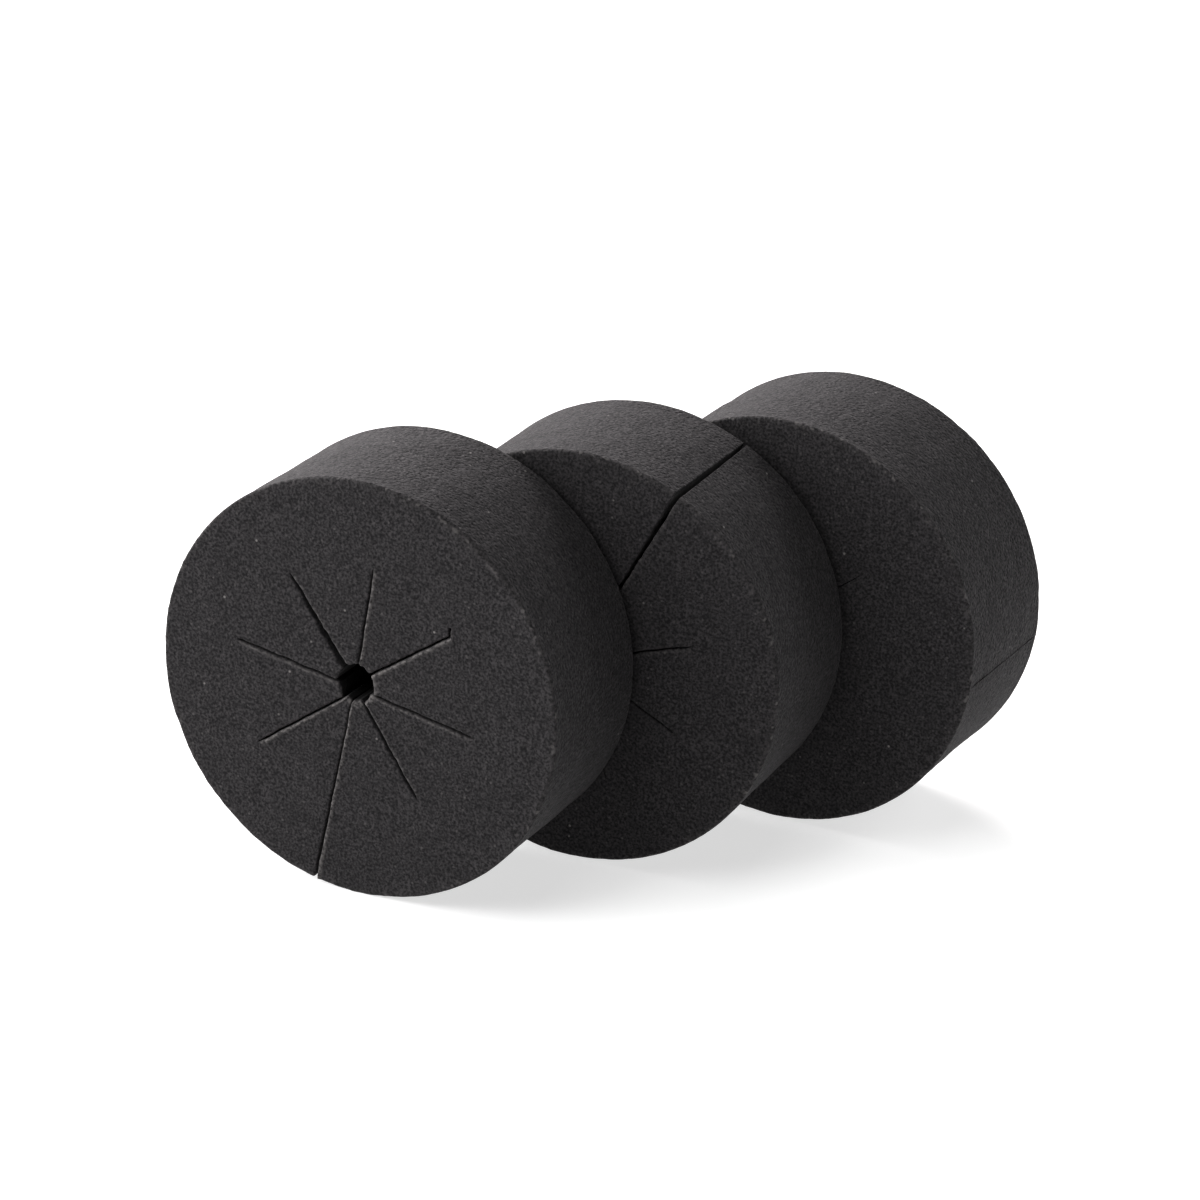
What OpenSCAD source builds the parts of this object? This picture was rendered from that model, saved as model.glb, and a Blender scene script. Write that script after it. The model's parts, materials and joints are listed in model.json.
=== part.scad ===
// Set of three foam cloning collars that stand on their rims in a staggered row.
// Each collar is a thick disc with a stem hole and a ring of radial slits. One slit, the mouth,
// runs right out to the rim, so the collar opens there to take a plant stem.
// The slits divide a collar into segments. Neighbouring segments are joined by the foam web
// outside the end of their slit, which bends as a living hinge along the outer wall.
// Origin: on the ground, under the middle of the row. +Z is up and the front faces look along -Y.

/* [Collar] */
// Outside diameter of each collar
collar_d = 48; // [44:0.5:56]
// Thickness of the foam sheet that the collars are cut from
collar_t = 19.05; // [12.7:0.05:25.4]
// Diameter of the stem hole in the middle of each collar
stem_hole_d = 4.4; // [3:0.1:8]
// How far the front collar's stem hole was punched above the middle of its disc
front_hole_up = 0.95; // [0:0.05:1.5]

/* [Slits] */
// Number of radial slits in each collar, the mouth among them
slit_count = 8; // [6:1:10]
// Diameter of the circle round the stem hole on which the short slits end
slit_circle_d = 29; // [24:0.5:34]
// Width of a short slit
slit_w = 0.4; // [0.3:0.05:0.8]
// Width of the front collar's mouth
front_mouth_w = 0.4; // [0.3:0.05:1.2]
// Width of the middle collar's mouth, which stands a little open
middle_mouth_w = 0.7; // [0.3:0.05:1.2]
// Width of the rear collar's mouth
rear_mouth_w = 0.3; // [0.3:0.05:1.2]
// Where the front collar's mouth meets the rim, anticlockwise from the right
front_mouth_angle = -102; // [-180:1:180]
// Where the middle collar's mouth meets the rim, anticlockwise from the right
middle_mouth_angle = 61.8; // [-180:0.1:180]
// Where the rear collar's mouth meets the rim, anticlockwise from the right
rear_mouth_angle = -7; // [-180:1:180]

/* [Row] */
// How far the middle collar stands to the right of the front one
middle_step = 16.5; // [8:0.5:24]
// How far the rear collar stands to the right of the middle one
rear_step = 15; // [8:0.5:24]
// Gap behind the front collar, from its back face to the centre of the next front face
middle_gap = 0.75; // [0.75:0.05:4]
// Gap behind the middle collar, from its back face to the centre of the next front face
rear_gap = 1.85; // [1.85:0.05:4]
// Turn of the middle collar about the vertical, anticlockwise from above
middle_turn = 1; // [0:0.5:1]
// Turn of the rear collar about the vertical, anticlockwise from above
rear_turn = -3; // [-3:0.5:0]

/* [Hidden] */
$fn = 96;
foam_colour = [0.22, 0.21, 0.22];
collar_r = collar_d / 2;
slit_pitch = 360 / slit_count;
// Cutting tools run past both faces, and past the rim, by this much
overrun = 1;

collar_names = ["front", "middle", "rear"];
mouth_widths = [front_mouth_w, middle_mouth_w, rear_mouth_w];
mouth_angles = [front_mouth_angle, middle_mouth_angle, rear_mouth_angle];
hole_up = [front_hole_up, 0, 0];
turns = [0, middle_turn, rear_turn];
// Where the centre of each front face stands, before the row is centred on the origin
face_x = [0, middle_step, middle_step + rear_step];
middle_y = collar_t + middle_gap;
face_y = [0, middle_y, middle_y + collar_t + rear_gap];

// The ends of each turned collar along X, and along Y
back_shift_x = [for (turn = turns) -collar_t * sin(turn)];
row_left = min([for (c = [0 : 2]) face_x[c] + min(0, back_shift_x[c]) - collar_r * cos(turns[c])]);
row_right = max([for (c = [0 : 2]) face_x[c] + max(0, back_shift_x[c]) + collar_r * cos(turns[c])]);
row_front = min([for (c = [0 : 2]) face_y[c] - collar_r * abs(sin(turns[c]))]);
row_back = max([for (c = [0 : 2]) face_y[c] + collar_t * cos(turns[c]) + collar_r * abs(sin(turns[c]))]);
row_centre = [(row_left + row_right) / 2, (row_front + row_back) / 2];

// Where the line of a slit meets the rim, and which way the slit runs there from the stem hole.
// Slit k lies k pitches anticlockwise of the mouth along the rim.
function rim_angle(c, k) = mouth_angles[c] + k * slit_pitch;
function slit_angle(c, k) =
    atan2(collar_r * sin(rim_angle(c, k)) - hole_up[c], collar_r * cos(rim_angle(c, k)));

function segment_name(c, k) = str(collar_names[c], "_segment_", k);

// Stands a collar, drawn flat with its back face at height 0, on its rim at its place in the row
module standing(c) {
    translate([face_x[c] - row_centre[0], face_y[c] - row_centre[1], collar_r])
        rotate([0, 0, turns[c]])
            rotate([90, 0, 0])
                translate([0, 0, -collar_t])
                    children();
}

// The slice of collar c that lies between the lines of slits k - 1 and k
module sector(c, k) {
    reach = 2 * collar_r;
    start = slit_angle(c, k - 1);
    end = slit_angle(c, k);
    intersection() {
        cylinder(h = collar_t, r = collar_r);
        translate([0, hole_up[c], -overrun])
            linear_extrude(height = collar_t + 2 * overrun)
                polygon([
                    [0, 0],
                    [reach * cos(start), reach * sin(start)],
                    [reach * cos(end), reach * sin(end)]
                ]);
    }
}

// The blade's path for slit k of collar c, from the middle of the stem hole outwards
module slit(c, k) {
    is_mouth = k % slit_count == 0;
    width = is_mouth ? mouth_widths[c] : slit_w;
    length = is_mouth ? collar_r + hole_up[c] + overrun : slit_circle_d / 2;
    translate([0, hole_up[c], -overrun])
        rotate([0, 0, slit_angle(c, k)])
            translate([0, -width / 2, 0])
                cube([length, width, collar_t + 2 * overrun]);
}

// Segment k of collar c, counted anticlockwise from the mouth as seen from the front
module segment(c, k) {
    color(foam_colour)
        standing(c)
            difference() {
                sector(c, k);
                translate([0, hole_up[c], -overrun])
                    cylinder(h = collar_t + 2 * overrun, d = stem_hole_d);
                slit(c, k - 1);
                slit(c, k);
            }
}

for (c = [0 : 2])
    for (k = [1 : slit_count])
        segment(c, k);
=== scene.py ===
"""Three foam cloning collars that stand on their rims in a staggered row.

A collar is worked out as one foam disc on a polar grid: eight sectors, each COLUMNS wide, with rows
from the stem hole to the rim. The grid is then shared out between eight segment pieces, which ride on
the CAD bodies, and seven web pieces, which lie across the hinges outside the ends of the short slits.
In a collar's own frame, x is to the right, y runs from the front face to the back and z is up.
"""

import json
import math

import bpy
import numpy as np
from mathutils import Matrix, Vector


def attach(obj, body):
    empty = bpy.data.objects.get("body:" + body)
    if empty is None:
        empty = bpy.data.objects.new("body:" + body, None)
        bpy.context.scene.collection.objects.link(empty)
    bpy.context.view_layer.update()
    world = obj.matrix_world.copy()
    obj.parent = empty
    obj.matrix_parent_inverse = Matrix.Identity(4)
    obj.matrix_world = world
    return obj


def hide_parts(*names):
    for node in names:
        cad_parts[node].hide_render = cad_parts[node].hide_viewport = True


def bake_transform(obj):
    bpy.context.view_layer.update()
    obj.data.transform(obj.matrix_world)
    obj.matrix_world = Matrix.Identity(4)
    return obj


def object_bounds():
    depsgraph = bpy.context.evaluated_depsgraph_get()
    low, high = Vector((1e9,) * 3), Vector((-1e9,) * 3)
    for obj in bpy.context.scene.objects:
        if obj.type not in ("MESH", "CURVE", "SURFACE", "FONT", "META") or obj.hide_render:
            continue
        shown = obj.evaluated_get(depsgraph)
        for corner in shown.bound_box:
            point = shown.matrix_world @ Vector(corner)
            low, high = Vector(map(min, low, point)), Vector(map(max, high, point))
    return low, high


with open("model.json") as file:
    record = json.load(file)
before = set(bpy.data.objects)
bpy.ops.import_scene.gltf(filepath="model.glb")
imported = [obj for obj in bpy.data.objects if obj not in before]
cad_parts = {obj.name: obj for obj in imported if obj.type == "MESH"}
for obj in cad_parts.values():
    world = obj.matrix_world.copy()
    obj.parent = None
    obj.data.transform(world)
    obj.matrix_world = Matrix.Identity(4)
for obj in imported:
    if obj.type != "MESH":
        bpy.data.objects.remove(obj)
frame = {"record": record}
cad_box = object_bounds()

MM = 0.001

# ---------------------------------------------------------------- camera

CAMERA_AZIMUTH = math.radians(25.24)
CAMERA_ELEVATION = math.radians(22.06)
CAMERA_ROLL = math.radians(1.8)
CAMERA_DISTANCE = 0.4337
CAMERA_LENS_MM = 116.2
AIM_FROM_CENTRE = Vector((-2.0, 0.0, 2.7)) * MM


def make_camera():
    """A long lens that looks down on the row from its front right."""
    around, up = CAMERA_AZIMUTH, CAMERA_ELEVATION
    forward = Vector((-math.sin(around) * math.cos(up), math.cos(around) * math.cos(up), -math.sin(up)))
    level = Vector((math.cos(around), math.sin(around), 0.0))
    above = level.cross(forward)
    right = level * math.cos(CAMERA_ROLL) + above * math.sin(CAMERA_ROLL)
    top = above * math.cos(CAMERA_ROLL) - level * math.sin(CAMERA_ROLL)
    centre = (Vector(cad_box[0]) + Vector(cad_box[1])) / 2
    place = centre + AIM_FROM_CENTRE - forward * CAMERA_DISTANCE
    camera = bpy.data.objects.new("camera", bpy.data.cameras.new("camera"))
    bpy.context.scene.collection.objects.link(camera)
    camera.data.lens = CAMERA_LENS_MM
    camera.data.clip_start = 0.01
    camera.matrix_world = Matrix((right, top, -forward)).transposed().to_4x4()
    camera.location = place
    bpy.context.scene.camera = camera


make_camera()

# ---------------------------------------------------------------- how the collars were cut and have worn, and which lips get painted highlights

SEGMENTS = 8
PITCH = 2 * math.pi / SEGMENTS
SLIT_END = 15.2 * MM

# Lengths in the tables up to WEAR are in millimetres, and directions in degrees, anticlockwise from the
# right. Short slits end and are as wide as a draw from these spreads, except where CUTS says otherwise.
SLIT_ENDS = (13.7, 14.5)
SLIT_WIDTHS = {"front": (0.18, 0.26), "middle": (0.12, 0.18), "rear": (0.03, 0.045)}
MOUTH_WIDTHS = {"front": 0.32, "middle": 0.68, "rear": 0.03}
# How wide a mouth is at the back face, as a share of its width at the front face
MOUTH_BACK_SHARE = {"front": 0.8, "middle": 0.45, "rear": 1.0}
# Rounding of the lips of the slits
LIP_ROUNDS = {"front": 0.2, "middle": 0.13, "rear": 0.012}
# The front collar's short slits were cut unevenly: how far each is turned anticlockwise, how far from the
# axis it ends, and by how much its line misses the middle of the stem hole, to the anticlockwise side
CUTS = {
    ("front", 1): (0.2, 13.8, -0.45),
    ("front", 2): (0.6, 14.6, -0.63),
    ("front", 3): (3.0, 14.7, 0.0),
    ("front", 4): (3.7, 14.2, 0.0),
    ("front", 5): (2.2, 14.2, 0.25),
    ("front", 6): (1.9, 14.9, 0.75),
    ("front", 7): (3.7, 15.1, 0.85),
}
# How many times wider a short slit is at the stem hole than at its end, and one slit that gapes
HUB_GAPE = {"front": 1.25, "middle": 1.25, "rear": 6.0}
GAPING = {("front", 5): 4.2}
# The knife left a small hook at the end of one slit: its reach to the anticlockwise side
HOOKS = {("front", 3): 0.75}

# The blades leaned, so the lips that face this way, toward the lamps, were left standing up a little.
# The same lips also get a painted highlight
RAISED_AND_LIT_LIPS_FACE = math.radians(140)
LIP_RISE = {"front": 0.15, "middle": 0.03, "rear": 0.0}
# How strong the painted highlight on those lips is, for each collar
LIP_HIGHLIGHT_STRENGTH = {"front": 1.0, "middle": 0.25, "rear": 0.0}
# The side of the stem hole whose edge gets the painted highlight, as it faces the lamps
LIT_HOLE_SIDE = math.radians(-60)

# Stretches of rim that are worn down further: collar, front (0) or back (1), direction, spread, and how much
WEAR = [
    ("front", 0, 60, 16, 0.28),
    ("front", 0, 100, 8, 0.12),
    ("middle", 0, 20, 20, 0.15),
]

# Random unevenness, as layers of waves: height, wavelength and what each layer adds to the seed
CUT_LINE_WAVES = [(0.045 * MM, 4 * MM, 0), (0.02 * MM, 1 * MM, 1)]
TORN_HOLE_WAVES = [(0.09 * MM, 1.3 * MM, 0)]
FACE_WAVES = [(0.05 * MM, 9 * MM, 0), (0.02 * MM, 2.2 * MM, 3)]
WALL_WAVES = [(0.06 * MM, 9 * MM, 0), (0.025 * MM, 2.5 * MM, 1)]
WALL_RIB_WAVES = [(0.02 * MM, 1.3 * MM, 2)]
# The same, with heights as shares of a slit's width, a rim's rounding, its extra wear and a lip's rise
RAGGED_LIP_WAVES = [(0.2, 0.9 * MM, 0)]
RIM_WEAR_WAVES = [(0.3, 5 * MM, 0), (0.2, 1.2 * MM, 5)]
WORN_STRETCH_WAVES = [(0.5, 1.5 * MM, 9)]
RAISED_LIP_WAVES = [(0.4, 0.8 * MM, 0)]

# Where each kind of random draw starts counting its seeds
SEEDS = {
    "slit": 1000,
    "cut_line": 2000,
    "tips": 3000,
    "rim": 4000,
    "torn_hole": 5000,
    "face": 6000,
    "wall": 7000,
    "lips": 8000,
}

# ---------------------------------------------------------------- the collars, from the frame


class Collar:
    """One collar's place, size and slit directions, read from the record's mounts and hinges."""

    def __init__(self, name, number):
        mounts = {m["name"]: m for m in frame["record"]["mounts"]}
        hinges = {j["name"]: j for j in frame["record"]["behaviour"]["joints"]}
        hole, rim = mounts[name + "_stem_hole"], mounts[name + "_rim"]
        self.name, self.number = name, number
        self.radius = rim["dims"]["r_mm"] * MM
        self.hole_radius = hole["dims"]["r_mm"] * MM
        self.depth = rim["dims"]["length_mm"] * MM
        self.inward = -np.array(rim["axis"], float)
        self.right = np.array([self.inward[1], -self.inward[0], 0.0])
        self.up = np.array([0.0, 0.0, 1.0])
        self.face_centre = np.array(rim["pos_m"]) - self.inward * self.depth / 2
        off_centre = np.array(hole["pos_m"]) - np.array(rim["pos_m"])
        shifted = np.array([off_centre @ self.right, off_centre @ self.up])
        self.hub = shifted / (1 - self.hole_radius / self.radius)
        first_hinge = np.array(hinges[name + "_hinge_1"]["pos_m"]) - self.face_centre
        first_slit = math.atan2(first_hinge @ self.up, first_hinge @ self.right)
        self.mouth_angle = first_slit - PITCH
        self.mouth_width = MOUTH_WIDTHS[name] * MM
        self.lip_round = LIP_ROUNDS[name] * MM
        self.lip_rise = LIP_RISE[name] * MM

    def body(self, k):
        return f"{self.name}_segment_{k}"

    def to_row(self, local):
        """Points in the collar's own frame, as points in the CAD row's frame."""
        axes = np.array([self.right, self.inward, self.up])
        return local @ axes + self.face_centre


collars = [Collar(name, number) for number, name in enumerate(("front", "middle", "rear"))]

# ---------------------------------------------------------------- smooth random fields


def waves(points, wavelength, seed, count=24):
    """A smooth random field, mostly from -1 to 1, whose bumps are about a wavelength apart."""
    random = np.random.default_rng(seed)
    points = np.asarray(points, float)
    if points.ndim == 1:
        points = points[:, None]
    ways = random.normal(size=(count, points.shape[1]))
    ways /= np.linalg.norm(ways, axis=1)[:, None]
    ways *= 2 * math.pi / wavelength * random.uniform(0.6, 1.4, (count, 1))
    phases = random.uniform(0, 2 * math.pi, count)
    return np.sin(points @ ways.T + phases).sum(1) / math.sqrt(2 * count)


def layers(points, table, seed):
    """The random fields of one of the tables of waves, added up."""
    return sum(height * waves(points, wavelength, seed + step) for height, wavelength, step in table)


def ramp(value, start, end):
    """0 at start, 1 at end, smooth between."""
    t = np.clip((value - start) / (end - start), 0, 1)
    return t * t * (3 - 2 * t)


def ridge(distance, at, width):
    """1 where the distance is the one given by at, falling to 0 on both sides of it."""
    return np.exp(-(((distance - at) / width) ** 2))


# ---------------------------------------------------------------- the polar grid

# How many columns a segment has, rows through the depth, and columns of a web block beside its hinge
COLUMNS = 48
HALF = COLUMNS // 2
DEPTH_ROWS = 36
WEB_COLUMNS = 11
# Rows along the fingers, in the finer zone around the ends of the slits, and in the webs
FINGER_ROWS, SLIT_END_ROWS, WEB_ROWS = 17, 20, 13
FINE_ZONE = 3.2 * MM

# How far a segment's inner tip stands out or in, at the most
TIP_LIFT = 0.13 * MM
# Rounding of the edges, and how far in from the rim and the stem hole the corners are drawn in
HOLE_ROUND = 0.3 * MM
RIM_ROUND = 0.34 * MM
LEAST_ROUND = 0.12 * MM
RIM_ZONE = 1.1 * MM
HOLE_ZONE = 1.2 * MM
# The faces lie a little inside the CAD solid, so that their unevenness doesn't stand out of it
FACE_SUNK = 0.05 * MM
# How far the wall is hollow in its middle, and how far it lies inside the CAD solid everywhere else
WALL_HOLLOW = 0.03 * MM
WALL_SUNK = 0.04 * MM
# A raised lip: how far it is from the slit and how wide, and the same for the edge of the stem hole
SLIT_RIDGE = (0.16 * MM, 0.2 * MM)
HOLE_RIDGE = (0.3 * MM, 0.25 * MM)
EDGE_TURNS = np.radians([90, 60, 30, 0])
LAST_EDGE = len(EDGE_TURNS) - 1
RIM_TURNS = np.radians([0, 15, 30, 45, 60, 75, 90])


def rows_between(start, end, count):
    return np.linspace(start, end, count + 1)[1:]


def radial_rows(collar):
    """Distances from the axis of the grid's rows before the rim's rounding, which adds its own."""
    hole, rim = collar.hole_radius, collar.radius
    around_hole = hole + HOLE_ROUND * (1 - np.sin(EDGE_TURNS))
    fingers = rows_between(hole + HOLE_ROUND, SLIT_END - FINE_ZONE, FINGER_ROWS)
    slit_ends = rows_between(SLIT_END - FINE_ZONE, SLIT_END, SLIT_END_ROWS)
    web = rows_between(SLIT_END, rim - RIM_ZONE, WEB_ROWS)
    return np.concatenate([around_hole, fingers, slit_ends, web])


# The stretch over which a slit narrows to its end, the same for a slit with a hook, and the stretch before
# its end over which its lips run out
CLOSING = 1.5 * MM
HOOK_CLOSING = 0.4 * MM
LIPS_CLOSING = 0.5 * MM
# A hook, by distances before the slit's end: where the cut turns aside, and where it widens, and by how much
HOOK_TURN = (0.85 * MM, 0.25 * MM)
HOOK_WIDENING = (1.0 * MM, 0.7 * MM)
HOOK_EXTRA_WIDTH = 1.2
# How wide a mouth is near the axis, as a share of its width at the rim
MOUTH_AT_AXIS = 0.45
# The stretch beyond SLIT_END over which a cut's line goes back to its true direction
STRAY_FADE = 2 * MM


class Slit:
    """One slit of a collar: how wide it is, and how far it strays, at a distance r from the axis."""

    def __init__(self, collar, number):
        key = (collar.name, number)
        random = np.random.default_rng(SEEDS["slit"] + 10 * collar.number + number)
        drawn_width = random.uniform(*SLIT_WIDTHS[collar.name]) * MM
        drawn_end = random.uniform(*SLIT_ENDS)
        swing, end, miss = CUTS.get(key, (0.0, drawn_end, 0.0))
        self.is_mouth = number % SEGMENTS == 0
        self.angle = collar.mouth_angle + number * PITCH
        self.seed = SEEDS["cut_line"] + 20 * collar.number + number % SEGMENTS
        self.width = collar.mouth_width if self.is_mouth else drawn_width
        self.back_share = MOUTH_BACK_SHARE[collar.name] if self.is_mouth else 1.0
        self.gape = GAPING.get(key, HUB_GAPE[collar.name]) - 1
        self.swing = math.radians(swing)
        self.end = end * MM
        self.miss = miss * MM
        self.hook = HOOKS.get(key, 0.0) * MM
        self.hole_radius = collar.hole_radius
        self.rim_radius = collar.radius

    def half_width(self, r, lip, side):
        """Half the slit's width on face side. lip is -1 or 1: the lips are ragged each in their own way."""
        ragged = 1 + layers(r, RAGGED_LIP_WAVES, self.seed + 7 * lip)
        if self.is_mouth:
            opening = MOUTH_AT_AXIS + (1 - MOUTH_AT_AXIS) * np.clip(r / self.rim_radius, 0, 1) ** 2
            return self.width / 2 * ragged * opening * (self.back_share if side else 1)
        along = np.clip((r - self.hole_radius) / (SLIT_END - self.hole_radius), 0, 1)
        closing = HOOK_CLOSING if self.hook else CLOSING
        past = np.clip(r - self.end + closing, 0, None) / closing
        end = np.sqrt(np.clip(1 - past**2, 0, 1))
        if self.hook:
            widened = ramp(r, self.end - HOOK_WIDENING[0], self.end - HOOK_WIDENING[1])
            end = end * (1 + HOOK_EXTRA_WIDTH * widened)
        return self.width / 2 * (1 + self.gape * (1 - along)) * ragged * end

    def stray(self, r):
        """How far the slit's line lies to the anticlockwise side of its true direction."""
        wander = layers(r, CUT_LINE_WAVES, self.seed)
        hook = self.hook * ramp(r, self.end - HOOK_TURN[0], self.end - HOOK_TURN[1])
        miss = self.miss * (1 - np.clip(r / self.end, 0, 1))
        fade = 1 if self.is_mouth else 1 - ramp(r, SLIT_END, SLIT_END + STRAY_FADE)
        return (wander + hook + miss + r * math.sin(self.swing)) * fade

    def openness(self, r):
        """1 where the slit is cut, 0 beyond its end."""
        return np.ones_like(r) if self.is_mouth else 1 - ramp(r, self.end - LIPS_CLOSING, self.end)


class Grid:
    """Turns grid places into points. A place is a segment k (1 to 8), a column i, a row j and a depth l."""

    def __init__(self, collar):
        self.collar = collar
        self.rows = radial_rows(collar)
        self.rim_row = len(self.rows) + len(RIM_TURNS) - 1
        self.web_row = int(np.argmin(abs(self.rows - SLIT_END)))
        self.slits = [Slit(collar, number) for number in range(SEGMENTS + 1)]
        random = np.random.default_rng(SEEDS["tips"] + collar.number)
        self.tip_lift = random.uniform(-TIP_LIFT, TIP_LIFT, SEGMENTS + 1)
        self.edge_distance = collar.lip_round * (1 - np.sin(EDGE_TURNS))

    def rim_round(self, angle, side):
        """Radius of the rim's worn edge, which changes along it. side is 0 in front and 1 at the back."""
        rim = self.collar.radius * np.stack([np.cos(angle), np.sin(angle)], 1)
        seed = SEEDS["rim"] + 10 * self.collar.number + side
        worn = RIM_ROUND * (1 + layers(rim, RIM_WEAR_WAVES, seed))
        for name, where, direction, spread, extra in WEAR:
            if name == self.collar.name and where == side:
                off = np.angle(np.exp(1j * (angle - math.radians(direction)))) / math.radians(spread)
                worn += extra * MM * ridge(off, 0, 1) * (1 + layers(rim, WORN_STRETCH_WAVES, seed))
        return np.clip(worn, LEAST_ROUND, RIM_ZONE * 0.85)

    def row_radius(self, j, rounding):
        inner = self.rows[np.minimum(j, len(self.rows) - 1)]
        turn = RIM_TURNS[np.clip(j - len(self.rows), 0, len(RIM_TURNS) - 1)]
        outer = self.collar.radius - rounding * (1 - np.sin(turn))
        return np.where(j < len(self.rows), inner, outer)

    def angle(self, k, i, r, side):
        """Direction of a column at a distance r from the axis, on face side."""
        angle = np.empty_like(r)
        for segment in np.unique(k):
            here = k == segment
            radius, column = r[here], i[here]
            before, after = self.slits[segment - 1], self.slits[segment]
            low_offset = before.stray(radius) + before.half_width(radius, 1, side)
            high_offset = after.stray(radius) - after.half_width(radius, -1, side)
            low = before.angle + np.arcsin(low_offset / radius)
            high = after.angle + np.arcsin(high_offset / radius)
            middle = (low + high) / 2
            inset = np.minimum(column, COLUMNS - column)
            arc = radius * (middle - low)
            edge = self.edge_distance[np.minimum(inset, LAST_EDGE)] / arc
            last_edge = self.edge_distance[-1] / arc
            share = (inset - LAST_EDGE) / (HALF - LAST_EDGE)
            share = np.where(inset <= LAST_EDGE, edge, last_edge + (1 - last_edge) * share)
            from_low, from_high = low + (middle - low) * share, high - (high - middle) * share
            angle[here] = np.where(column <= HALF, from_low, from_high)
        return angle

    def near_slit(self, k, i, r):
        """How far the nearest slit rounds the face off, and whether it is cut there, each 0 to 1."""
        inset = np.minimum(i, COLUMNS - i)
        turn = EDGE_TURNS[np.minimum(inset, LAST_EDGE)]
        slit = np.where(i <= HALF, k - 1, k)
        open_here = np.zeros_like(r)
        for number in np.unique(slit):
            here = slit == number
            open_here[here] = self.slits[number].openness(r[here])
        return (1 - np.cos(turn)) * open_here, open_here

    def face_point(self, k, i, j, side):
        """A point of the front face (side 0) or of the back face (side 1), up to and with the rim's edge."""
        collar = self.collar
        rounding = self.rim_round(self.column_angle(k, i), side)
        r = self.row_radius(j, rounding)
        angle = self.angle(k, i, r, side)
        at_slit, slit_open = self.near_slit(k, i, r)

        # The corners of the segment at the stem hole, and at the rim beside the mouth, are rounded too
        slit = np.where(i <= HALF, k - 1, k)
        beside_mouth = (slit % SEGMENTS == 0).astype(float)
        near_rim = ramp(r, collar.radius - RIM_ZONE, collar.radius)
        near_hole = 1 - ramp(r, collar.hole_radius, collar.hole_radius + HOLE_ZONE)
        middle = self.slits[0].angle + (k - 0.5) * PITCH
        chord = 1 - math.cos(PITCH / 2) / np.cos(angle - middle)
        place = np.stack([r * np.cos(angle), r * np.sin(angle)], 1)
        torn = layers(place, TORN_HOLE_WAVES, SEEDS["torn_hole"] + collar.number + 3 * side)
        r = r - beside_mouth * near_rim * collar.lip_round * at_slit
        r = r + near_hole * (0.5 * collar.lip_round * at_slit - 0.8 * chord * collar.hole_radius + torn)

        place = np.stack([r * np.cos(angle), r * np.sin(angle)], 1)
        rim_turn = RIM_TURNS[np.clip(j - len(self.rows), 0, len(RIM_TURNS) - 1)]
        rim_turn = np.where(j < len(self.rows), 0, rim_turn)
        hole_turn = np.where(j <= LAST_EDGE, EDGE_TURNS[np.minimum(j, LAST_EDGE)], 0)
        sunk = rounding * (1 - np.cos(rim_turn)) - self.raised_lip(k, i, r, slit_open)
        sunk = sunk + collar.lip_round * at_slit + HOLE_ROUND * (1 - np.cos(hole_turn))
        sunk = sunk + FACE_SUNK + layers(place, FACE_WAVES, SEEDS["face"] + 10 * collar.number + side)
        lift = self.tip_lift[k] * (1 - ramp(r, collar.hole_radius, SLIT_END)) ** 1.5
        y = sunk + lift if side == 0 else collar.depth - sunk + lift
        x, z = (place + collar.hub * (1 - r / collar.radius)[:, None]).T
        return np.stack([x, y, z], 1)

    def from_lip(self, i, r):
        """How far a column lies from the lip of its nearest slit."""
        inset = np.minimum(i, COLUMNS - i)
        near = self.edge_distance[np.minimum(inset, LAST_EDGE)]
        step = (r * PITCH / 2 - self.edge_distance[-1]) / (HALF - LAST_EDGE)
        return near + step * np.maximum(inset - LAST_EDGE, 0)

    def column_angle(self, k, i):
        """Roughly the direction of a column, as if the collar were cut evenly."""
        return self.slits[0].angle + (k - 1 + i / COLUMNS) * PITCH

    def lip_light(self, k, i):
        """1 on the lips that face the way that was raised, toward the lamps, falling to 0 on those a quarter
        turn away. It sets both where the lips stand up and where they get a painted highlight.
        """
        at_start = i <= HALF
        slit_angle = self.slits[0].angle + (k - np.where(at_start, 1, 0)) * PITCH
        faces = slit_angle + np.where(at_start, -math.pi / 2, math.pi / 2)
        return np.clip(np.cos(faces - RAISED_AND_LIT_LIPS_FACE), 0, 1) ** 0.8

    def raised_lip(self, k, i, r, slit_open):
        """How far the face stands up beside a slit or the stem hole, on lips that face the raised way."""
        slit_lip = self.lip_light(k, i) * ridge(self.from_lip(i, r), *SLIT_RIDGE) * slit_open
        inward = self.column_angle(k, i) + math.pi
        around = ridge(r - self.collar.hole_radius, *HOLE_RIDGE)
        hole_lip = np.clip(np.cos(inward - RAISED_AND_LIT_LIPS_FACE), 0, 1) * around
        uneven = 1 + layers(r, RAISED_LIP_WAVES, SEEDS["lips"] + self.collar.number)
        return self.collar.lip_rise * np.maximum(slit_lip, hole_lip) * uneven

    def point(self, k, i, j, l):
        """The point at a grid place. On the walls it lies between the front edge and the back edge."""
        front, back = self.face_point(k, i, j, 0), self.face_point(k, i, j, 1)
        s = (l / DEPTH_ROWS)[:, None]
        point = front + (back - front) * s
        return point + self.wall_hollow(point, l) * (j == self.rim_row)[:, None]

    def wall_hollow(self, point, l):
        """The die-cut wall is hollow between its edges, uneven, and faintly ribbed along the axis."""
        out = point * [1, 0, 1]
        out = out / np.linalg.norm(out, axis=1)[:, None]
        rim = out[:, [0, 2]] * self.collar.radius
        from_edge = np.sin(math.pi * l / DEPTH_ROWS) ** 0.7
        seed = SEEDS["wall"] + 10 * self.collar.number
        uneven = WALL_SUNK + layers(point, WALL_WAVES, seed) + layers(rim, WALL_RIB_WAVES, seed)
        inward = WALL_HOLLOW * from_edge + uneven * np.minimum(1, 3 * from_edge)
        return -out * inward[:, None]


# ---------------------------------------------------------------- pieces

grids = {collar.name: Grid(collar) for collar in collars}

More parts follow.
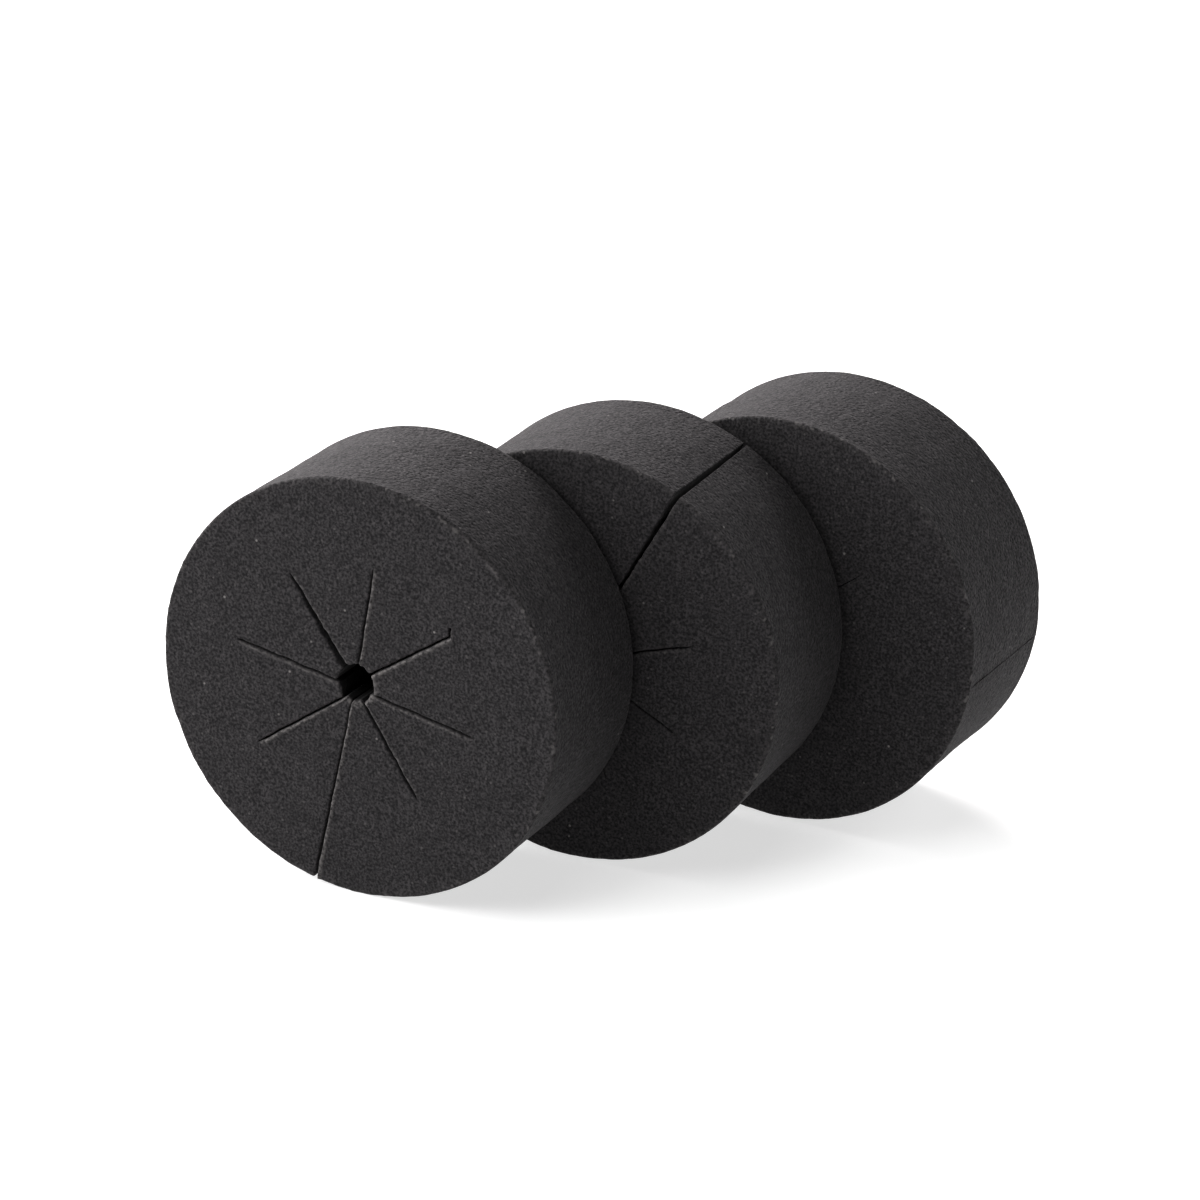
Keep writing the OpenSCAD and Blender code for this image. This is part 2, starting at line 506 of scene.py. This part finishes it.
# How far the rim's pale wear, and the painted highlights on the lips and the stem hole's edge, reach
PALE_REACH = 0.3 * MM
# Where the painted highlight beside a slit and around the stem hole is strongest, and how wide it is
SLIT_HIGHLIGHT_BAND = (0.2 * MM, 0.19 * MM)
HOLE_HIGHLIGHT_BAND = (0.25 * MM, 0.25 * MM)
# Painted shade in the cuts: depths between which a slit's walls and the hole's wall are painted darker, and
# how dark the painted shade on the slits' walls gets
SLIT_SHADE_DEPTHS = (0.1 * MM, 0.7 * MM)
HOLE_SHADE_DEPTHS = (0.2 * MM, 0.5 * MM)
SLIT_PAINTED_SHADE = 0.5
# Points are matched by their places, in hundred-millionths of a metre
MATCHING = 1e8
# How far apart the collars' foam is taken from, so that no two collars have the same grain
FOAM_APART = 0.1


class PieceMesh:
    """Collects one piece's faces as grid places, then makes a mesh of them."""

    def __init__(self, grid):
        self.grid = grid
        self.faces = []
        self.is_cap = []

    def add(self, places, cap=False):
        self.faces.append(places)
        self.is_cap.append(cap)

    def patch(self, k, columns, rows):
        """The front and back faces over a block of the grid."""
        for i in range(columns[0], columns[1]):
            for j in range(rows[0], rows[1]):
                corners = [(i, j), (i, j + 1), (i + 1, j + 1), (i + 1, j)]
                self.add([(k, a, b, 0) for a, b in corners])
                self.add([(k, a, b, DEPTH_ROWS) for a, b in reversed(corners)])

    def wall(self, k, path):
        """A wall through the whole depth, along a path of (column, row). It faces left of the path."""
        for (a, b), (c, d) in zip(path, path[1:]):
            for l in range(DEPTH_ROWS):
                self.add([(k, a, b, l), (k, a, b, l + 1), (k, c, d, l + 1), (k, c, d, l)])

    def cap(self, k, path, fine_start, fine_end):
        """A hidden flat wall along a path, as one face. fine_start and fine_end: which ends meet a wall."""
        def column(at, fine, way):
            rows = range(1, DEPTH_ROWS) if fine else ()
            return [(k, *at, l) for l in list(rows)[::way]]

        front = [(k, a, b, 0) for a, b in path]
        back = [(k, a, b, DEPTH_ROWS) for a, b in path]
        loop = front[:1] + column(path[0], fine_start, 1) + back + column(path[-1], fine_end, -1)
        self.add(loop + front[:0:-1], cap=True)


def along_columns(start, end, row):
    step = 1 if end > start else -1
    return [(i, row) for i in range(start, end + step, step)]


def along_rows(start, end, column):
    step = 1 if end > start else -1
    return [(column, j) for j in range(start, end + step, step)]


def segment_mesh(grid, k):
    """Segment k: everything between its two slits, less the web blocks beside the short ones."""
    mesh = PieceMesh(grid)
    web, rim = grid.web_row, grid.rim_row
    first = 0 if grid.slits[k - 1].is_mouth else WEB_COLUMNS
    last = COLUMNS if grid.slits[k].is_mouth else COLUMNS - WEB_COLUMNS
    mesh.patch(k, (0, COLUMNS), (0, web))
    mesh.patch(k, (first, last), (web, rim))
    mesh.wall(k, along_columns(first, last, rim))
    mesh.wall(k, along_columns(COLUMNS, 0, 0))
    mesh.wall(k, along_rows(0, web if first else rim, 0))
    mesh.wall(k, along_rows(web if last < COLUMNS else rim, 0, COLUMNS))
    if first:
        mesh.cap(k, along_columns(0, first, web), True, False)
        mesh.cap(k, along_rows(web, rim, first), False, True)
    if last < COLUMNS:
        mesh.cap(k, along_rows(rim, web, last), True, False)
        mesh.cap(k, along_columns(last, COLUMNS, web), False, True)
    return mesh


def web_mesh(grid, k):
    """The foam outside the end of slit k, which joins segment k to segment k + 1."""
    mesh = PieceMesh(grid)
    web, rim = grid.web_row, grid.rim_row
    start, end = COLUMNS - WEB_COLUMNS, WEB_COLUMNS
    mesh.patch(k, (start, COLUMNS), (web, rim))
    mesh.patch(k + 1, (0, end), (web, rim))
    mesh.wall(k, along_columns(start, COLUMNS, rim))
    mesh.wall(k + 1, along_columns(0, end, rim))
    mesh.cap(k, along_rows(web, rim, start), False, True)
    mesh.cap(k + 1, along_rows(rim, web, end), True, False)
    mesh.cap(k + 1, along_columns(end, 0, web), False, False)
    mesh.cap(k, along_columns(COLUMNS, start, web), False, False)
    return mesh


def worked_out(mesh):
    """The piece's points in the collar's frame, each shared by the faces that meet there, and its faces."""
    flat = np.array([place for face in mesh.faces for place in face])
    places, back = np.unique(flat, axis=0, return_inverse=True)
    points = mesh.grid.point(*places.T)
    keys = np.round(points * MATCHING)
    _, first, merged = np.unique(keys, axis=0, return_index=True, return_inverse=True)
    corners = merged.ravel()[back.ravel()]
    sizes = np.array([len(face) for face in mesh.faces])
    return points[first], places[first], corners, sizes


def face_normals(points, corners, sizes):
    """Each face's normal, as long as twice its area, by Newell's way."""
    starts = np.concatenate([[0], np.cumsum(sizes)[:-1]])
    following = np.arange(len(corners)) + 1
    following[starts + sizes - 1] = starts
    here, there = points[corners], points[corners[following]]
    return np.add.reduceat(np.cross(here, there), starts, axis=0)


def shading(collar, points, places, grid):
    """What the material is told at each point, by attribute name, each 0 to 1.

    The rim's edge is pale with wear. The slit lips and the side of the stem hole's edge that face the lamps
    get a painted highlight, the walls of the cuts get painted shade with depth, and wall is the die-cut
    outer wall.
    """
    k, i, j, _ = places.T
    r = grid.row_radius(j, RIM_ROUND)
    deep = np.clip(np.minimum(points[:, 1], collar.depth - points[:, 1]), 0, None)
    on_face = ridge(deep, 0, PALE_REACH)
    rim = ridge(np.hypot(collar.radius - r, deep), 0, PALE_REACH)

    # Painted highlight on the slit lips that face the lamps
    _, slit_open = grid.near_slit(k, i, r)
    beside = ridge(grid.from_lip(i, r), *SLIT_HIGHLIGHT_BAND)
    slit = LIP_HIGHLIGHT_STRENGTH[collar.name] * slit_open * grid.lip_light(k, i) * on_face * beside
    # The stem hole's edge is a little pale all round, with a painted highlight on the side that faces the
    # lamps
    facing = 0.1 + 0.9 * np.clip(np.cos(grid.column_angle(k, i) - LIT_HOLE_SIDE) + 0.3, 0, 1)
    hole = facing * on_face * ridge(r - collar.hole_radius, *HOLE_HIGHLIGHT_BAND)

    # Painted shade on the walls of the slits, the mouth and the stem hole, darker with depth
    beside_mouth = (k == 1) & (i == 0) | (k == SEGMENTS) & (i == COLUMNS)
    slit_wall = beside_mouth | ((i == 0) | (i == COLUMNS)) & (j <= grid.web_row)
    inside = SLIT_PAINTED_SHADE * slit_wall * ramp(deep, *SLIT_SHADE_DEPTHS)
    inside = np.where(j == 0, ramp(deep, *HOLE_SHADE_DEPTHS), inside)
    wall = j == grid.rim_row
    return {"rim_edge": rim, "slit_edge": slit, "hole_edge": hole, "inside": inside, "wall": wall}


def make_object(name, collar, points, places, corners, sizes, caps, normals):
    """A mesh object in the row's frame, with the collar's smooth normals on all but its caps."""
    data = bpy.data.meshes.new(name)
    starts = np.concatenate([[0], np.cumsum(sizes)[:-1]])
    data.vertices.add(len(points))
    data.vertices.foreach_set("co", collar.to_row(points).ravel())
    data.loops.add(len(corners))
    data.loops.foreach_set("vertex_index", corners.astype(np.int32))
    data.polygons.add(len(sizes))
    data.polygons.foreach_set("loop_start", starts.astype(np.int32))
    data.polygons.foreach_set("use_smooth", ~caps)
    data.update(calc_edges=True)
    data.validate()
    axes = np.array([collar.right, collar.inward, collar.up])
    data.normals_split_custom_set((normals @ axes).tolist())
    own_place = points + [FOAM_APART * collar.number, 0, 0]
    attribute = data.attributes.new("foam_place", "FLOAT_VECTOR", "POINT")
    attribute.data.foreach_set("vector", own_place.astype(np.float32).ravel())
    for label, value in shading(collar, points, places, grids[collar.name]).items():
        attribute = data.attributes.new(label, "FLOAT", "POINT")
        attribute.data.foreach_set("value", value.astype(np.float32))
    made = bpy.data.objects.new(name, data)
    bpy.context.scene.collection.objects.link(made)
    return made


def build_collar(collar):
    """All of one collar's pieces, with normals that run on from piece to piece. Returns {name: object}."""
    grid = grids[collar.name]
    meshes = {f"{collar.name}_foam_segment_{k}": segment_mesh(grid, k) for k in range(1, SEGMENTS + 1)}
    meshes |= {f"{collar.name}_foam_web_{k}": web_mesh(grid, k) for k in range(1, SEGMENTS)}
    shapes = {name: worked_out(mesh) for name, mesh in meshes.items()}

    keys, pushes = [], []
    for name, (points, _, corners, sizes) in shapes.items():
        normals = face_normals(points, corners, sizes)
        normals[np.array(meshes[name].is_cap)] = 0
        keys.append(np.round(points[corners] * MATCHING))
        pushes.append(np.repeat(normals, sizes, axis=0))
    _, shared = np.unique(np.concatenate(keys), axis=0, return_inverse=True)
    shared = shared.ravel()
    pushes = np.concatenate(pushes)
    total = np.stack([np.bincount(shared, pushes[:, axis]) for axis in range(3)], 1)
    total /= np.maximum(np.linalg.norm(total, axis=1), 1e-30)[:, None]
    smooth = total[shared]

    made, at = {}, 0
    for name, (points, places, corners, sizes) in shapes.items():
        caps = np.array(meshes[name].is_cap)
        normals = smooth[at:at + len(corners)].copy()
        at += len(corners)
        flat = face_normals(points, corners, sizes)
        flat /= np.maximum(np.linalg.norm(flat, axis=1), 1e-30)[:, None]
        on_cap = np.repeat(caps, sizes)
        normals[on_cap] = np.repeat(flat, sizes, axis=0)[on_cap]
        made[name] = make_object(name, collar, points, places, corners, sizes, caps, normals)
    return made


# ---------------------------------------------------------------- foam material


class Nodes:
    """A short way to build a node tree."""

    def __init__(self, material):
        material.use_nodes = True
        self.tree = material.node_tree
        self.tree.nodes.clear()

    def add(self, kind, inputs=(), **settings):
        node = self.tree.nodes.new(kind)
        for name, value in settings.items():
            setattr(node, name, value)
        for socket, value in dict(inputs).items():
            if isinstance(value, bpy.types.NodeSocket):
                self.tree.links.new(value, node.inputs[socket])
            else:
                node.inputs[socket].default_value = value
        return node

    def attribute(self, name, output="Fac"):
        return self.add("ShaderNodeAttribute", attribute_name=name).outputs[output]

    def math(self, operation, a, b=0.0, clamp=False):
        return self.add("ShaderNodeMath", {0: a, 1: b}, operation=operation, use_clamp=clamp).outputs[0]

    def noise(self, place, size, detail=2.0, roughness=0.5):
        inputs = {"Vector": place, "Scale": 1 / size, "Detail": detail, "Roughness": roughness}
        return self.add("ShaderNodeTexNoise", inputs).outputs[0]

    def between(self, value, low, high, to_low=0.0, to_high=1.0):
        inputs = {0: value, 1: low, 2: high, 3: to_low, 4: to_high}
        return self.add("ShaderNodeMapRange", inputs, clamp=True).outputs[0]

    def mix(self, share, under, over):
        inputs = {0: share, 6: under, 7: over}
        return self.add("ShaderNodeMix", inputs, data_type="RGBA").outputs[2]

    def cells(self, place, size):
        return self.add("ShaderNodeTexVoronoi", {"Vector": place, "Scale": 1 / size})


FOAM_DARK = (0.0105, 0.0099, 0.0108, 1)
FOAM_LIGHT = (0.049, 0.0455, 0.0475, 1)
PIT = (0.006, 0.0057, 0.006, 1)
FLECK = (0.085, 0.08, 0.08, 1)
# Pale wear on the rim, also used for the painted highlight on the lips that face the lamps
TORN_AND_HIGHLIGHT = (0.17, 0.16, 0.157, 1)
# Painted shade for the depths of the slits, the mouth and the stem hole
PAINTED_CUT_SHADE = (0.004, 0.0038, 0.004, 1)
DUST = (0.2, 0.19, 0.185, 1)

# Sizes of the foam's grain, of its cut cells, and of lighter and darker patches, small and large
GRAIN_SIZE = 0.3 * MM
CELL_SIZE = 0.5 * MM
CLUMP_SIZE = 0.9 * MM
MOTTLE_SIZE = 3.5 * MM
# Random spots in some of the cells: colour, cell size, share of the cells, which of a cell's random numbers
# picks it, shares of the cell between which the spot fades, and how strong it is
FLECK_SPOTS = (FLECK, 0.75 * MM, 0.22, 1, (0.1, 0.26), 0.75)
PIT_SPOTS = (PIT, 0.9 * MM, 0.3, 1, (0.1, 0.26), 0.8)
DUST_SPOTS = (DUST, 1.35 * MM, 0.1, 0, (0.07, 0.14), 0.8)
# How pale the rim's wear is, how strong the painted highlights on the slit lips and the stem hole's edge
# are, how uneven that is, and the flecks along the rim
RIM_PALENESS, SLIT_HIGHLIGHT_SHARE, HOLE_HIGHLIGHT_SHARE = 0.2, 1.0, 0.9
EDGE_UNEVEN_SIZE = 0.4 * MM
RIM_FLECK_SIZE = 0.8 * MM
# Depth of the bump, on the faces and on the die-cut wall
BUMP_DEPTHS = (0.1 * MM, 0.24 * MM)


def foam_tone(n, place, wall, grain, pits, mottle):
    """How light the plain foam is, 0 to 1. The die-cut wall is the more clumped part of it."""
    tone = n.between(grain, 0.36, 0.68)
    tone = n.math("MULTIPLY", tone, n.between(pits, 0, 1, 0.75, 1.1))
    tone = n.math("MULTIPLY", tone, n.between(mottle, 0.3, 0.7, 0.85, 1.15), clamp=True)
    clumps = n.noise(place, CLUMP_SIZE, 1.0, 0.5)
    clumping = n.math("MULTIPLY", n.math("SUBTRACT", clumps, 0.5), n.between(wall, 0, 1, 1.0, 1.8))
    return n.math("MULTIPLY", tone, n.math("ADD", clumping, 1.0), clamp=True)


def add_spots(n, place, under, spots):
    """The colour under, with one kind of random spots over it."""
    colour, size, share, channel, fades, strength = spots
    cells = n.cells(place, size)
    random = n.add("ShaderNodeSeparateColor", {0: cells.outputs["Color"]}).outputs[channel]
    picked = n.between(random, 1 - share, 1 - share / 2)
    spot = n.between(cells.outputs["Distance"], *fades, strength, 0.0)
    return n.mix(n.math("MULTIPLY", picked, spot), under, colour)


def worn_and_lit_edges(n, place):
    """How pale the edges are: the rim's wear, flecked along it, and painted highlights on the slit lips
    and the stem hole's edge that face the lamps, all uneven.
    """
    rim = n.attribute("rim_edge")
    slit = n.math("MULTIPLY", n.attribute("slit_edge"), SLIT_HIGHLIGHT_SHARE)
    hole = n.math("MULTIPLY", n.attribute("hole_edge"), HOLE_HIGHLIGHT_SHARE)
    edge = n.math("MAXIMUM", n.math("MULTIPLY", rim, RIM_PALENESS), slit)
    edge = n.math("MAXIMUM", edge, hole)
    uneven = n.between(n.noise(place, EDGE_UNEVEN_SIZE, 2.5), 0.38, 0.62, 0.1, 1.0)
    edge = n.math("MULTIPLY", edge, uneven, clamp=True)
    flecks = n.between(n.noise(place, RIM_FLECK_SIZE, 1.0), 0.6, 0.68, 0.0, 0.85)
    return n.math("MAXIMUM", edge, n.math("MULTIPLY", rim, flecks))


def foam_material():
    """Black closed-cell foam: fine cut cells, a mottled tone, pale worn rims, painted highlights on the lips
    that face the lamps, painted shade deep in the cuts, and a few specks of dust.
    """
    material = bpy.data.materials.new("foam")
    n = Nodes(material)
    place = n.attribute("foam_place", "Vector")
    wall = n.attribute("wall")
    grain = n.noise(place, GRAIN_SIZE, 2.0, 0.6)
    mottle = n.noise(place, MOTTLE_SIZE, 3.0, 0.55)
    pits = n.between(n.cells(place, CELL_SIZE).outputs["Distance"], 0.1, 0.55)

    colour = n.mix(foam_tone(n, place, wall, grain, pits, mottle), FOAM_DARK, FOAM_LIGHT)
    colour = add_spots(n, place, colour, FLECK_SPOTS)
    colour = add_spots(n, place, colour, PIT_SPOTS)
    # Pale wear on the rim, and painted highlights on the lips that face the lamps
    colour = n.mix(worn_and_lit_edges(n, place), colour, TORN_AND_HIGHLIGHT)
    colour = add_spots(n, place, colour, DUST_SPOTS)
    # Painted shade deep in the slits, the mouth and the stem hole
    colour = n.mix(n.attribute("inside"), colour, PAINTED_CUT_SHADE)

    height = n.math("ADD", n.math("MULTIPLY", grain, 0.6), n.math("MULTIPLY", pits, 0.4))
    height = n.math("ADD", height, n.math("MULTIPLY", mottle, 0.5))
    depth = n.between(wall, 0, 1, *BUMP_DEPTHS)
    bump = n.add("ShaderNodeBump", {"Strength": 0.8, "Distance": depth, "Height": height})
    inputs = {
        "Base Color": colour,
        "Roughness": n.between(grain, 0.3, 0.7, 0.95, 0.78),
        "Normal": bump.outputs[0],
        "IOR": 1.45,
        "Specular IOR Level": 0.24,
        "Sheen Weight": 0.07,
        "Sheen Roughness": 0.5,
        "Sheen Tint": (0.9, 0.88, 0.88, 1),
    }
    shader = n.add("ShaderNodeBsdfPrincipled", inputs).outputs[0]
    n.add("ShaderNodeOutputMaterial", {0: shader})
    return material


foam = foam_material()

# ---------------------------------------------------------------- build, and fix to the frame


# How far to each side of a hinge the two points that blend_ends gives lie
BEND_REACH = 2.2 * MM


def blend_ends(collar, k):
    """Points on the two sides of hinge k's web, in the row's frame."""
    angle = collar.mouth_angle + k * PITCH
    across = np.array([-math.sin(angle), 0.0, math.cos(angle)]) * BEND_REACH
    middle = np.array([math.cos(angle), 0.0, math.sin(angle)]) * collar.radius
    middle[1] = collar.depth / 2
    return collar.to_row(middle - across), collar.to_row(middle + across)


for collar in collars:
    made = build_collar(collar)
    for piece in made.values():
        piece.data.materials.append(foam)
    for k in range(1, SEGMENTS + 1):
        segment = made[f"{collar.name}_foam_segment_{k}"]
        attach(segment, collar.body(k))
        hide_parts(collar.body(k))
    for k in range(1, SEGMENTS):
        start, end = blend_ends(collar, k)
        web = made[f"{collar.name}_foam_web_{k}"]
        collar.body(k)
        collar.body(k + 1)
        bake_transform(web)

# ---------------------------------------------------------------- floor and light

FLOOR_HALF_WIDTH = 8.0
FLOOR_WHITE = (0.45, 0.45, 0.45, 1)
FLOOR_GLOW = 0.70


def make_floor():
    """A wide, plain sheet of white acrylic, softly lit from below, as on a light table."""
    half = FLOOR_HALF_WIDTH
    data = bpy.data.meshes.new("floor")
    corners = [(-half, -half, 0), (half, -half, 0), (half, half, 0), (-half, half, 0)]
    data.from_pydata(corners, [], [(0, 1, 2, 3)])
    floor = bpy.data.objects.new("floor", data)
    bpy.context.scene.collection.objects.link(floor)
    material = bpy.data.materials.new("floor_white")
    n = Nodes(material)
    inputs = {
        "Base Color": FLOOR_WHITE,
        "Roughness": 0.9,
        "Emission Color": (1, 1, 1, 1),
        "Emission Strength": FLOOR_GLOW,
    }
    sheet = n.add("ShaderNodeBsdfPrincipled", inputs)
    n.add("ShaderNodeOutputMaterial", {0: sheet.outputs[0]})
    data.materials.append(material)


# Softboxes: name, azimuth, elevation, watts and colour. Azimuth 0 is in front, and 90 to the left.
WHITE = (1, 1, 1)
WARM = (1.0, 0.955, 0.96)
LAMPS = [
    ("left_low", 90, 12, 8.8, WHITE),
    ("left_behind", 130, 35, 11.6, WARM),
    ("front_left", 52, 25, 4.6, WHITE),
    ("front_high", 28, 50, 4.0, WHITE),
    ("overhead", 0, 88, 2.2, WHITE),
    ("right_behind", -140, 30, 3.5, WHITE),
]
LAMP_DISTANCE = 0.9
LAMP_SIZE = 0.5
# Under 1 it gives the dark tones a little more contrast
TONE_GAMMA = 0.85


def make_light(name, azimuth, elevation, watts, colour):
    """A square softbox that shines on the row."""
    light = bpy.data.lights.new(name, "AREA")
    light.shape = "SQUARE"
    light.size = LAMP_SIZE
    light.energy = watts
    light.color = colour
    lamp = bpy.data.objects.new(name, light)
    bpy.context.scene.collection.objects.link(lamp)
    around, up = math.radians(azimuth), math.radians(elevation)
    away = Vector((-math.sin(around) * math.cos(up), -math.cos(around) * math.cos(up), math.sin(up)))
    lamp.location = away * LAMP_DISTANCE
    lamp.rotation_euler = away.to_track_quat("Z", "Y").to_euler()


def make_dark_world():
    """A world that gives no light of its own."""
    world = bpy.data.worlds.new("studio")
    bpy.context.scene.world = world
    world.use_nodes = True
    world.node_tree.nodes["Background"].inputs["Strength"].default_value = 0.0


make_floor()
make_dark_world()
for lamp in LAMPS:
    make_light(*lamp)
bpy.context.scene.view_settings.view_transform = "Standard"
bpy.context.scene.view_settings.gamma = TONE_GAMMA
